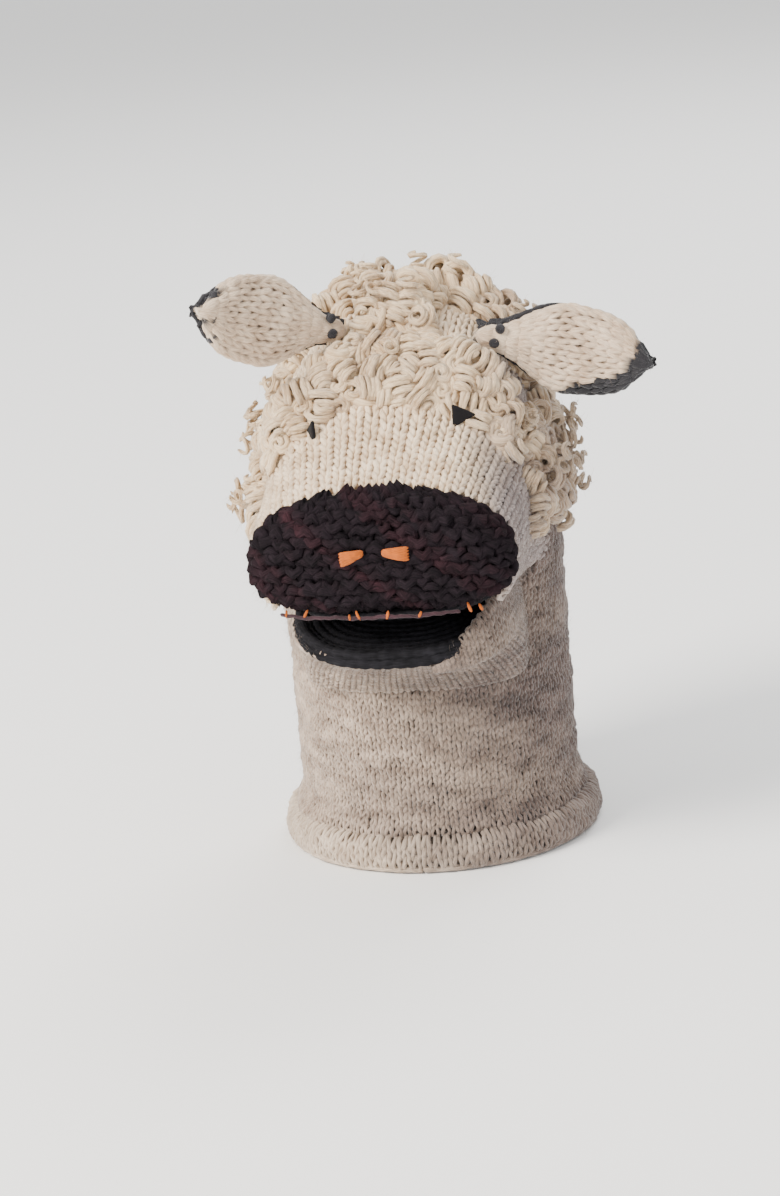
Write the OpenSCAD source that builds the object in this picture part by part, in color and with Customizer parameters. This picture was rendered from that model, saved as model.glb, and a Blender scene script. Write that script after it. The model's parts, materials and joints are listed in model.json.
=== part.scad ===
// Woolly lamb hand puppet: a knitted sleeve with a hinged mouth, fleece and floppy ears.
// Millimetres. The puppet looks along -Y, +Z is up, and the origin is the centre of the
// arm opening in the plane of the hem's lower edge. Left and right are as seen from the front.

/* [Sleeve] */
// Radius of the opening for the arm
bore_r = 55; // [45:1:60]
// Outer radius of the knitted tube
tube_r = 58; // [50:1:65]
// Thickness of the knitted tube
wall = 5; // [3:0.5:7]
// Height of the turned hem
hem_h = 17; // [10:1:25]
// Outer radius of the hem at its lower edge
hem_r = 67; // [60:1:72]
// Top of the part of the sleeve that stays still
sleeve_top = 24; // [20:1:30]
// Lower edge of the band above the sideways bend
band_z = 48; // [44:1:52]
// Height of that band
band_h = 5; // [4:1:8]

/* [Neck and head] */
// Height of the neck's slanted top edge on the axis
neck_z = 90; // [80:1:100]
// Rise of that edge from the axis to the back
neck_rise = 14; // [5:1:20]
// Front face of the muzzle that the nose patch covers
muzzle_y = -97; // [-105:1:-90]
// Depth of the nose patch in front of it
nose_depth = 15; // [8:1:20]
// Underside of the upper jaw
lip_z = 122; // [110:1:130]

/* [Jaw] */
// Hinge line of the mouth, forward of the axis
hinge_y = -38; // [-45:1:-30]
// Height of the hinge line
hinge_z = 115.5; // [110:0.5:120]
// How far the mouth hangs open at rest
jaw_rest = 12; // [5:1:25]
// Length of the jaw from the hinge line
jaw_len = 62; // [50:1:75]
// Half the width of the jaw
jaw_half_w = 43; // [35:1:50]
// Depth of the thumb pocket under the lining
jaw_depth = 16; // [12:1:26]

/* [Ears] */
// Length of an ear
ear_len = 64; // [45:1:80]
// Widest part of an ear
ear_w = 36; // [25:1:45]
// Thickness of each of the two layers
ear_layer = 2.8; // [2:0.1:4]
// How far the left ear stands up
ear_left_up = 16; // [-40:1:60]
// How far the left ear points forward
ear_left_forward = 42; // [0:1:60]
// How far the right ear stands up
ear_right_up = -12; // [-60:1:40]

/* [Fleece] */
// How far the fleece stands off the head
fleece_h = 13; // [6:1:20]

/* [Hidden] */
$fn = 96;
gap = 0.4;
black_wool = [0.10, 0.10, 0.11];
nose_wool = [0.20, 0.17, 0.18];
cream_wool = [0.88, 0.83, 0.76];
heather_wool = [0.65, 0.60, 0.56];
hem_wool = [0.70, 0.65, 0.60];
grey_wool = [0.56, 0.50, 0.48];
charcoal_wool = [0.26, 0.25, 0.27];
fleece_wool = [0.79, 0.72, 0.66];
orange_yarn = [0.86, 0.55, 0.38];

// Sections of the head, from the neck over the crown to the muzzle. Each has its top point,
// its centre (both y, z), half its width, its depth below the centre and its squareness.
head_sections = [
    [[58, 104], [0, neck_z], 58, 59.7, 1.0],
    [[61, 132], [-5, 110], 58.5, 50, 0.95],
    [[58, 162], [-12, 125], 59, 43, 0.92],
    [[48, 190], [-20, 134], 59, 38, 0.90],
    [[28, 213], [-29, 139], 58, 37, 0.88],
    [[3, 225], [-39, 141], 56.5, 36, 0.86],
    [[-20, 219], [-49, 141], 55, 35, 0.86],
    [[-42, 202], [-59, 141], 53.5, 34, 0.86],
    [[-62, 186], [-71, 142], 53, 34, 0.86],
    [[-81, 176], [-84, 142], 52.5, 34, 0.86],
    [[muzzle_y, 168], [muzzle_y, 142], 52, 34, 0.86]
];
last = len(head_sections) - 1;
edge_angle = 35;

// Piece to draw

// ---- Helpers ----

// A number raised to a power with its sign kept
function bend(t, power) = sign(t) * pow(abs(t), power);

// A smooth rise from 0 to 1
function ease(t) = let (c = min(1, max(0, t))) c * c * (3 - 2 * c);

// A value on the smooth curve through four neighbours
function curve(a, b, c, d, t) =
    0.5 * (2 * b + (c - a) * t + (2 * a - 5 * b + 4 * c - d) * t * t
    + (3 * b - a - 3 * c + d) * t * t * t);

// A point of the head's skin. s counts along the sections, angle goes round from the right
// edge over the top to the left edge, and out moves the point off the skin.
function head_at(s, angle, out) =
    let (
        i = min(last - 1, floor(s)),
        t = s - i,
        a = head_sections[max(0, i - 1)],
        b = head_sections[i],
        c = head_sections[i + 1],
        d = head_sections[min(last, i + 2)],
        top = curve(a[0], b[0], c[0], d[0], t),
        mid = curve(a[1], b[1], c[1], d[1], t),
        w = curve(a[2], b[2], c[2], d[2], t),
        low = curve(a[3], b[3], c[3], d[3], t),
        power = curve(a[4], b[4], c[4], d[4], t),
        up = (top - mid) / norm(top - mid),
        high = sin(angle) > 0 ? norm(top - mid) : low,
        off = [cos(angle) / w, sin(angle) / high],
        flat = [w * bend(cos(angle), power), high * bend(sin(angle), power)]
            + off / norm(off) * out
    )
    [flat[0], mid[0] + up[0] * flat[1], mid[1] + up[1] * flat[1]];

// A point given in the jaw's own frame, where the lining is level, as it hangs at rest
function jaw_at(p) = [
    p[0],
    hinge_y + p[1] * cos(jaw_rest) - p[2] * sin(jaw_rest),
    hinge_z + p[1] * sin(jaw_rest) + p[2] * cos(jaw_rest)
];

// The closed solid between two grids of points, one in front of the other
module slab(front, back) {
    rows = len(front);
    cols = len(front[0]);
    count = rows * cols;
    points = concat([for (row = front) each row], [for (row = back) each row]);
    function at(r, c) = r * cols + c;
    front_faces = [
        for (r = [0:rows - 2], c = [0:cols - 2])
            [at(r, c), at(r, c + 1), at(r + 1, c + 1), at(r + 1, c)]
    ];
    back_faces = [
        for (r = [0:rows - 2], c = [0:cols - 2])
            [count + at(r, c), count + at(r + 1, c), count + at(r + 1, c + 1), count + at(r, c + 1)]
    ];
    row_ends = [
        for (r = [0:rows - 2]) each [
            [at(r, 0), at(r + 1, 0), count + at(r + 1, 0), count + at(r, 0)],
            [at(r + 1, cols - 1), at(r, cols - 1), count + at(r, cols - 1), count + at(r + 1, cols - 1)]
        ]
    ];
    col_ends = [
        for (c = [0:cols - 2]) each [
            [at(0, c + 1), at(0, c), count + at(0, c), count + at(0, c + 1)],
            [at(rows - 1, c), at(rows - 1, c + 1), count + at(rows - 1, c + 1), count + at(rows - 1, c)]
        ]
    ];
    polyhedron(points, concat(front_faces, back_faces, row_ends, col_ends), convexity = 6);
}

// The closed solid between an outer and an inner cup, each a list of rings that shrink inwards
module cup(outer, inner) {
    rows = len(outer);
    n = len(outer[0]);
    count = rows * n;
    points = concat([for (ring = outer) each ring], [for (ring = inner) each ring]);
    function at(r, c) = r * n + c % n;
    walls = [
        for (r = [0:rows - 2], c = [0:n - 1]) each [
            [at(r, c), at(r, c + 1), at(r + 1, c + 1), at(r + 1, c)],
            [count + at(r, c), count + at(r + 1, c), count + at(r + 1, c + 1), count + at(r, c + 1)]
        ]
    ];
    rim = [for (c = [0:n - 1]) [at(0, c + 1), at(0, c), count + at(0, c), count + at(0, c + 1)]];
    tips = [
        [for (c = [0:n - 1]) at(rows - 1, c)],
        [for (c = [n - 1:-1:0]) count + at(rows - 1, c)]
    ];
    polyhedron(points, concat(walls, rim, tips), convexity = 6);
}

// A patch of the head from section s0 to s1 and angle a0 to a1, between two heights off the skin
module head_patch(s0, s1, a0, a1, low, high, rows, cols) {
    outer = [
        for (i = [0:rows])
            [for (j = [0:cols]) head_at(s0 + (s1 - s0) * i / rows, a0 + (a1 - a0) * j / cols, high)]
    ];
    inner = [
        for (i = [0:rows])
            [for (j = [0:cols]) head_at(s0 + (s1 - s0) * i / rows, a0 + (a1 - a0) * j / cols, low)]
    ];
    slab(inner, outer);
}

// A pad of fleece on the same kind of patch, rounded down towards its edges
module fleece_pad(s0, s1, a0, a1, high, rows, cols) {
    function side(t) = ease(4 * t) * ease(4 * (1 - t));
    function height(i, j) = 3 + (high - 3) * pow(side(i / rows) * side(j / cols), 0.5);
    outer = [
        for (i = [0:rows])
            [
                for (j = [0:cols])
                    head_at(s0 + (s1 - s0) * i / rows, a0 + (a1 - a0) * j / cols, height(i, j))
            ]
    ];
    inner = [
        for (i = [0:rows])
            [for (j = [0:cols]) head_at(s0 + (s1 - s0) * i / rows, a0 + (a1 - a0) * j / cols, 0.2)]
    ];
    slab(inner, outer);
}

// A ring of the knitted tube between two heights
module tube(z0, z1) {
    rotate_extrude()
        translate([tube_r - wall, z0])
            square([wall, z1 - z0]);
}

// ---- Sleeve and neck ----

module hem() {
    edge = 4;
    color(hem_wool)
        rotate_extrude()
            polygon([
                [bore_r, 0],
                [hem_r - edge, 0],
                [hem_r - 1, 1],
                [hem_r, edge],
                [hem_r - 1.5, hem_h - edge],
                [tube_r + 2, hem_h - 1],
                [tube_r, hem_h],
                [bore_r, hem_h]
            ]);
}

module sleeve_lower() {
    color(heather_wool)
        tube(hem_h, sleeve_top);
}

module sleeve_flex() {
    color(heather_wool)
        tube(sleeve_top, band_z - gap);
}

module neck_band() {
    color(heather_wool)
        tube(band_z, band_z + band_h);
}

module neck_flex() {
    slant = atan2(neck_rise, tube_r);
    big = 4 * tube_r;
    color(heather_wool)
        difference() {
            tube(band_z + band_h, neck_z + 2 * neck_rise);
            translate([0, 0, neck_z - gap])
                rotate([slant, 0, 0])
                    translate([-big / 2, -big / 2, 0])
                        cube(big);
        }
}

// ---- Head ----

module head_back() {
    color(heather_wool)
        head_patch(0, 5, -edge_angle, 180 + edge_angle, -wall, 0, 15, 40);
}

module muzzle_top() {
    color(cream_wool)
        head_patch(5, last, 38.4, 141.6, -wall, 0, 12, 18);
}

module cheek_right() {
    color(grey_wool)
        head_patch(5, last, -edge_angle, 38, -wall, 0, 12, 12);
}

module cheek_left() {
    color(grey_wool)
        head_patch(5, last, 142, 180 + edge_angle, -wall, 0, 12, 12);
}

// One ring of the nose patch: shrink is 1 at the muzzle and 0 at the tip
function nose_ring(shrink, thick) =
    let (
        end = head_sections[last],
        mid = end[1],
        w = end[2] - thick,
        high = end[0][1] - mid[1] - thick,
        low = mid[1] - lip_z - thick,
        forward = (nose_depth - thick) * pow(1 - pow(shrink, 2.6), 1 / 2.2)
    )
    [
        for (i = [0:47])
            let (
                angle = -360 * i / 48,
                upper = sin(angle) > 0,
                side = bend(cos(angle), upper ? end[4] : 0.6),
                rise = (upper ? high : low) * bend(sin(angle), upper ? end[4] : 0.6)
            )
            [w * side * shrink, muzzle_y - forward, mid[1] + rise * shrink]
    ];

module nose_patch() {
    shrinks = [1, 0.97, 0.92, 0.85, 0.75, 0.6, 0.42, 0.22, 0.05];
    color(nose_wool)
        cup(
            [for (k = shrinks) nose_ring(k, 0)],
            [for (k = shrinks) nose_ring(k, wall)]
        );
}

// A short stitch of thick yarn lying across a point, tilted in the front plane
module stitch(at, length, thick, tilt) {
    translate(at)
        rotate([0, tilt, 0])
            union() {
                rotate([0, 90, 0])
                    cylinder(d = thick, h = length, center = true, $fn = 24);
                for (side = [-1, 1])
                    translate([side * length / 2, 0, 0])
                        sphere(d = thick, $fn = 24);
            }
}

module nostril_left() {
    color(orange_yarn) {
        stitch([-9, muzzle_y - nose_depth - 1.2, 148], 7, 2.4, 8);
        stitch([-8, muzzle_y - nose_depth - 1.2, 145.5], 5, 2.4, -22);
    }
}

module nostril_right() {
    color(orange_yarn) {
        stitch([8, muzzle_y - nose_depth - 1.2, 148.5], 8, 2.4, -4);
        stitch([7, muzzle_y - nose_depth - 1.2, 146], 6, 2.4, 10);
    }
}

module lip_stitches() {
    places = [-38, -33, -12, -8, 2, 14, 34, 38];
    color(orange_yarn)
        for (x = places)
            stitch([x, muzzle_y - 6 + pow(abs(x) / 20, 2), lip_z - 1.6], 3.2, 1.8, 60);
}

// The outline of a mouth lining: straight sides that close in a blunt curve
function mouth_outline(half_w, from, to, straight) = concat(
    [[half_w, from]],
    [
        for (i = [0:24])
            let (a = 180 * i / 24)
            [
                half_w * bend(cos(a), 0.75),
                from - straight - (from - straight - to) * bend(sin(a), 0.9)
            ]
    ],
    [[-half_w, from]]
);

module mouth_roof() {
    color(black_wool)
        translate([0, 0, lip_z - 3])
            linear_extrude(3 - 0.2)
                polygon(mouth_outline(42, hinge_y - 4, muzzle_y - 10, 14));
}

// A felt wedge for an eye, laid on the head at section s and angle
module eye(s, angle) {
    side = angle < 90 ? 1 : -1;
    at = head_at(s, angle, 0.6);
    out = head_at(s, angle, 1.6) - at;
    turn = atan2(out[0], -out[1]);
    lean = atan2(out[2], norm([out[0], out[1]]));
    color(black_wool)
        translate(at)
            rotate([0, 0, turn])
                rotate([90 - lean, 0, 0])
                    linear_extrude(1.6)
                        polygon([[-side * 4.5, 5.5], [-side * 4.5, -5.5], [side * 6, 0]]);
}

module eye_left() {
    eye(7.75, 118);
}

module eye_right() {
    eye(7.75, 62);
}

// ---- Fleece ----

module fleece_fringe() {
    color(fleece_wool)
        fleece_pad(6.75, 7.6, 30, 150, fleece_h, 10, 28);
}

module fleece_top() {
    color(fleece_wool)
        fleece_pad(5.25, 6.4, 77, 103, fleece_h + 1, 10, 12);
}

module fleece_crown() {
    color(fleece_wool)
        fleece_pad(3.2, 5.2, 30, 150, fleece_h + 3, 12, 28);
}

module fleece_right() {
    color(fleece_wool)
        fleece_pad(2.2, 7.2, -2, 30, fleece_h - 4, 16, 12);
}

module fleece_left() {
    color(fleece_wool)
        fleece_pad(2.2, 7.2, 150, 182, fleece_h - 4, 16, 12);
}

module fleece_nape() {
    color(fleece_wool)
        fleece_pad(1.2, 3.2, 30, 150, fleece_h - 2, 12, 24);
}

// ---- Jaw ----

// A section of the jaw's outer skin: turn is 0 at the back and 90 at the tip
function jaw_section(turn, thick) =
    let (
        back = -18,
        size = pow(cos(turn), 0.7)
    )
    [
        for (i = [0:24])
            let (a = 180 * i / 24)
            jaw_at([
                (jaw_half_w - thick) * size * cos(a),
                back - (jaw_len - thick + back) * sin(turn),
                -1.7 - (jaw_depth - thick) * size * bend(sin(a), 0.8)
            ])
    ];

module jaw_shell() {
    turns = [0, 12, 24, 36, 48, 58, 68, 76, 82];
    color(grey_wool)
        slab(
            [for (t = turns) jaw_section(t, 0)],
            [for (t = turns) jaw_section(t, wall - 1)]
        );
}

module jaw_lining() {
    color(black_wool)
        translate([0, hinge_y, hinge_z])
            rotate([jaw_rest, 0, 0])
                translate([0, 0, -1.5])
                    linear_extrude(3)
                        polygon(mouth_outline(jaw_half_w - 5, -6, -jaw_len + 4, 12));
}

// The rolled edge of the jaw, a thick yarn that follows the lining's outline
module jaw_lip() {
    path = mouth_outline(jaw_half_w - 2.3, -8, -jaw_len + 0.5, 10);
    r = 2.3;
    steps = len(path);
    rings = [
        for (i = [0:steps - 1])
            let (
                before = path[max(0, i - 1)],
                after = path[min(steps - 1, i + 1)],
                way = (before - after) / norm(after - before)
            )
            [
                for (j = [0:12])
                    let (a = 30 * j)
                    jaw_at([
                        path[i][0] + way[1] * r * cos(a),
                        path[i][1] - way[0] * r * cos(a),
                        0.8 + r * sin(a)
                    ])
            ]
    ];
    color(black_wool)
        tube_solid(rings);
}

// A closed solid from rings whose last point repeats the first
module tube_solid(rings) {
    rows = len(rings);
    n = len(rings[0]) - 1;
    points = [for (ring = rings) for (j = [0:n - 1]) ring[j]];
    function at(r, c) = r * n + c % n;
    walls = [
        for (r = [0:rows - 2], c = [0:n - 1])
            [at(r, c), at(r + 1, c), at(r + 1, c + 1), at(r, c + 1)]
    ];
    ends = [
        [for (c = [0:n - 1]) at(0, c)],
        [for (c = [n - 1:-1:0]) at(rows - 1, c)]
    ];
    polyhedron(points, concat(walls, ends), convexity = 6);
}

// The soft skin between the front of the neck and the back of the jaw
module throat() {
    steps = 6;
    first = -edge_angle - 4;
    function low(i, thick) = head_at(0, first - (180 + 2 * first) * i / 24, -thick);
    function high(i, thick) = jaw_section(0, thick)[i] + [0, 0.6 + thick, 0];
    function between(i, t, thick) =
        low(i, thick) * (1 - t) + high(i, thick) * t + [0, -5 * sin(180 * t) * sin(180 * i / 24), 0];
    function grid(thick) = [for (k = [0:steps]) [for (i = [0:24]) between(i, k / steps, thick)]];
    color(grey_wool)
        slab(grid(0), grid(wall - 1));
}

// ---- Ears ----

// Half the width of an ear along its length (0 at the base, 1 at the tip)
function ear_half(u) = ear_w / 2 * (0.25 + 0.75 * ease(u / 0.45)) * sqrt(max(0.02, 1 - pow(u, 5)));

// One layer of an ear that lies along +X from its base, between two depths
module ear_layer_solid(front, back) {
    rows = 14;
    cols = 8;
    function at(i, j, depth) =
        let (
            u = i / rows,
            v = 2 * j / cols - 1
        )
        [ear_len * u, depth + 5 * v * v * (1 - u / 2) - 4 * u * u, ear_half(u) * v];
    slab(
        [for (i = [0:rows]) [for (j = [0:cols]) at(i, j, front)]],
        [for (i = [0:rows]) [for (j = [0:cols]) at(i, j, back)]]
    );
}

module on_left_ear() {
    translate([-23, -27, 218])
        mirror([1, 0, 0])
            rotate([0, 0, -ear_left_forward])
                rotate([0, -ear_left_up, 0])
                    children();
}

module on_right_ear() {
    translate([37, -28, 212.5])
        rotate([0, -ear_right_up, 0])
            children();
}

module ear_knots() {
    for (z = [-0.5, 4.5])
        translate([5, -ear_layer - 1.2, z])
            sphere(r = 2.4, $fn = 24);
}

module ear_left_face() {
    color(cream_wool)
        on_left_ear()
            ear_layer_solid(-ear_layer, 0);
}

module ear_left_back() {
    color(charcoal_wool)
        on_left_ear()
            ear_layer_solid(0, ear_layer);
}

module ear_left_knots() {
    color(charcoal_wool)
        on_left_ear()
            ear_knots();
}

module ear_right_face() {
    color(cream_wool)
        on_right_ear()
            ear_layer_solid(-ear_layer, 0);
}

module ear_right_back() {
    color(charcoal_wool)
        on_right_ear()
            ear_layer_solid(0, ear_layer);
}

module ear_right_knots() {
    color(charcoal_wool)
        on_right_ear()
            ear_knots();
}

hem();
sleeve_lower();
sleeve_flex();
neck_band();
neck_flex();
head_back();
muzzle_top();
cheek_left();
cheek_right();
nose_patch();
nostril_left();
nostril_right();
lip_stitches();
mouth_roof();
eye_left();
eye_right();
fleece_fringe();
fleece_top();
fleece_crown();
fleece_left();
fleece_right();
fleece_nape();
throat();
jaw_shell();
jaw_lining();
jaw_lip();
ear_left_face();
ear_left_back();
ear_left_knots();
ear_right_face();
ear_right_back();
ear_right_knots();
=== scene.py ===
# %% [markdown]
# # A knitted lamb hand puppet
#
# The puppet is a wide knitted tube that an arm goes into. Its upper end is shaped into a blunt muzzle
# with a dark nose, a hinged mouth lined in black, a mop of curly locks and two floppy ears.
# Nearly all of it is yarn, so the scene is built from yarn: every stitch is a real loop of a thick,
# uneven, handspun thread. Light then catches the loops and sinks between them, which no bump map
# on a smooth tube would do at this scale.
#
# Lengths are in metres. The solids of the CAD model give each surface its place.

# %% Start
import json
import math

import bpy
import numpy as np
from mathutils import Matrix, Vector
from mathutils.bvhtree import BVHTree

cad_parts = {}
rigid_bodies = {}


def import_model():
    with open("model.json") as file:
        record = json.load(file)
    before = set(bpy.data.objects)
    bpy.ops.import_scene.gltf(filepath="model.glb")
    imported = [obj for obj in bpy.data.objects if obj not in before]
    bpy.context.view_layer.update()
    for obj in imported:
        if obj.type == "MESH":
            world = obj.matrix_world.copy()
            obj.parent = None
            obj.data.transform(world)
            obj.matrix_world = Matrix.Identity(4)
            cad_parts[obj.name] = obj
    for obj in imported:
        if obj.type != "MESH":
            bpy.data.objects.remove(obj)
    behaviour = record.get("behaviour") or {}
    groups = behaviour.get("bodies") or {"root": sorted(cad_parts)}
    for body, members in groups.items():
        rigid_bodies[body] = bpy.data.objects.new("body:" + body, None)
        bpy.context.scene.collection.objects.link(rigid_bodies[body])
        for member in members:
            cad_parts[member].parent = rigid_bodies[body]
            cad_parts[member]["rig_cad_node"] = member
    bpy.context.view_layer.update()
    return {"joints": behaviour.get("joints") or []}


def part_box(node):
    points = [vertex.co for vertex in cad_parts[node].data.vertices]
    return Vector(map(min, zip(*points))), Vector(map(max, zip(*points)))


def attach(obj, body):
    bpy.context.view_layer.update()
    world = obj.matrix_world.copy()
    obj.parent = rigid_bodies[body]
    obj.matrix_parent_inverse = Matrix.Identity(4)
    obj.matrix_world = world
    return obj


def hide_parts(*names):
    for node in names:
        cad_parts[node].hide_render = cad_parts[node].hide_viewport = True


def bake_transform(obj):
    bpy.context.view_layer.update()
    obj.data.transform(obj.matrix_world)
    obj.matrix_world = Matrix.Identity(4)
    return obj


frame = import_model()
MM = 0.001

# %% [markdown]
# ## Small tools
#
# Colours are written as the familiar hex codes and turned into linear light by one function.
# Nodes are added by one function, which takes settings and links together.
# Handspun yarn is never even, so a smooth wobble along its length is used everywhere: a sum of
# a few sines of unrelated lengths, which costs nothing and repeats exactly on every run.


# %% Colour, nodes and wobble
def linear(code):
    """A hex colour as linear red, green, blue and alpha."""
    parts = [int(code[i : i + 2], 16) / 255 for i in (1, 3, 5)]
    return [c / 12.92 if c <= 0.04045 else ((c + 0.055) / 1.055) ** 2.4 for c in parts] + [1.0]


def add(tree, kind, links=(), **settings):
    """Adds a node; links maps one of its inputs to another node's output."""
    node = tree.nodes.new("ShaderNode" + kind)
    for name, value in settings.items():
        if name in node.inputs:
            node.inputs[name].default_value = value
        else:
            setattr(node, name, value)
    for name, output in links:
        tree.links.new(output, node.inputs[name])
    return node


def wobble(x, seed, size=1.0):
    """A smooth, uneven value between about -size and size."""
    rng = np.random.default_rng(seed)
    total = np.zeros_like(np.asarray(x, float))
    for factor in (1.0, 2.37, 4.91):
        total = total + np.sin(np.asarray(x) * factor + rng.uniform(0, 6.28)) / factor**0.5
    return total * size / 2.1


def unit(v):
    """Vectors of length one, along the last axis."""
    return v / np.maximum(np.linalg.norm(v, axis=-1, keepdims=True), 1e-12)


print("tools ready")

# %% [markdown]
# ## Wool
#
# Wool is a matte fibre with a soft sheen at grazing angles, because light slips through the scaly
# hairs that stand off the thread. The Principled shader's sheen gives that. The base colour mixes
# a light and a dark fleece: broad patches a few stitches wide where the spinner drew from darker
# wool, and fine streaks that wind round the thread, since a thread is a bundle of twisted hairs.
# The same streaks drive a small bump. Keratin has an IOR of about 1.55.
#
# The second UV map, Yarn, measures each thread in its own girths: along it and around it.
# A tint painted on the vertices fades one wool into another where the knitter changed yarn, and on
# the sleeve and the muzzle also as painted shade on the side away from the key light.


# %% Yarn material
def yarn_material(name, light, dark, other=None, sheen=0.35, patch=9.0, rough=0.92, run=1.0,
                  gloss=0.25, slot=None):
    """Handspun wool from a light and a dark colour; other is the pair that tint fades to.
    A run above one draws the patches out sideways, along the rows of upright knitting.
    The slot is the record's name for the wool, where it isn't the material's own."""
    mat = bpy.data.materials.new(name)
    mat["slot"] = slot or name
    mat.use_nodes = True
    tree = mat.node_tree
    shader = tree.nodes["Principled BSDF"]
    place = add(tree, "TexCoord")
    around = add(tree, "UVMap", uv_map="Yarn")
    twist = add(tree, "Mapping", [("Vector", around.outputs["UV"])], Rotation=(0, 0, 0.5))
    twist.inputs["Scale"].default_value = (1.1, 9.0, 1.0)
    hairs = add(tree, "TexNoise", [("Vector", twist.outputs["Vector"])], Scale=2.4, Detail=5.0)
    drawn = add(tree, "Mapping", [("Vector", place.outputs["Object"])])
    drawn.inputs["Scale"].default_value = (1.0 / run, 1.0 / run, run)
    broad = add(
        tree, "TexNoise", [("Vector", drawn.outputs["Vector"])],
        Scale=1 / (patch * MM), Detail=4.0, Roughness=0.62,
    )
    both = add(
        tree, "Mix", [("A", hairs.outputs["Fac"]), ("B", broad.outputs["Fac"])], Factor=0.45
    )
    pairs = [(light, dark)] + ([other] if other else [])
    colours = []
    for first, second in pairs:
        ramp = add(tree, "ValToRGB", [("Fac", both.outputs["Result"])])
        ramp.color_ramp.elements[0].position = 0.36
        ramp.color_ramp.elements[0].color = linear(second)
        ramp.color_ramp.elements[1].position = 0.62
        ramp.color_ramp.elements[1].color = linear(first)
        colours.append(ramp.outputs["Color"])
    if other:
        tint = add(tree, "Attribute", attribute_name="tint")
        mix = add(tree, "Mix", data_type="RGBA")
        tree.links.new(tint.outputs["Fac"], mix.inputs["Factor"])
        tree.links.new(colours[0], mix.inputs[6])
        tree.links.new(colours[1], mix.inputs[7])
        colours.append(mix.outputs[2])
    bump = add(
        tree, "Bump", [("Height", hairs.outputs["Fac"])], Strength=0.9, Distance=0.5 * MM
    )
    tree.links.new(colours[-1], shader.inputs["Base Color"])
    tree.links.new(bump.outputs["Normal"], shader.inputs["Normal"])
    shader.inputs["Roughness"].default_value = rough
    shader.inputs["IOR"].default_value = 1.55
    shader.inputs["Specular IOR Level"].default_value = gloss
    shader.inputs["Sheen Weight"].default_value = sheen
    shader.inputs["Sheen Roughness"].default_value = 0.45
    return mat


# The grey, the taupe and the hem wool's second pair, which the tints fade to, are partly the yarns' own
# colours and partly painted shade for the side away from the key light.
CREAM = ("#fde9cc", "#c3a581")
GREY_AND_SHADE = ("#a39590", "#6a5c58")
HEATHER = ("#ccb7a4", "#6c584a")
TAUPE_AND_SHADE = ("#77665f", "#302624")
cream_wool = yarn_material("cream_wool", *CREAM, other=GREY_AND_SHADE)
heather_wool = yarn_material("heather_wool", *HEATHER, other=TAUPE_AND_SHADE, run=1.6)
hem_wool = yarn_material("hem_wool", "#d8c6b2", "#95806c", other=("#8a7a70", "#50423d"))
nose_wool = yarn_material(
    "nose_wool", "#221b20", "#0b090b", other=("#43262c", "#1c1014"), sheen=0.0, patch=6.0,
    gloss=0.08)
black_wool = yarn_material("black_wool", "#232226", "#0d0d0f", sheen=0.0, gloss=0.1)
charcoal_wool = yarn_material("charcoal_wool", "#38373b", "#1a191c", sheen=0.1)
orange_yarn = yarn_material("orange_cotton", "#cb6619", "#93480c", sheen=0.1, rough=0.8,
                            slot="orange_yarn")
lip_yarn = yarn_material("lip_wool", "#452c33", "#22161a", sheen=0.1, slot="nose_wool")
fleece_wool = yarn_material(
    "fleece_roving", "#f6dfba", "#a88660", other=("#b09a87", "#6f5b4e"), sheen=0.45, patch=16.0,
    rough=0.82, slot="fleece")
print(len(bpy.data.materials), "materials")

# %% [markdown]
# ## Threads
#
# A thread is a tube swept along a line. Its side and top directions come from the normal of the
# cloth it lies in, so the tube never spins. All threads of a piece of cloth go into one mesh.
# Each thread gets a strip of its own in the map that colours are baked to.


# %% Strands to mesh
def per_corner(places):
    """The map places of the four corners of many faces, as one array a face."""
    return np.stack([np.stack(place, 1) for place in places], 1)


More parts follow.
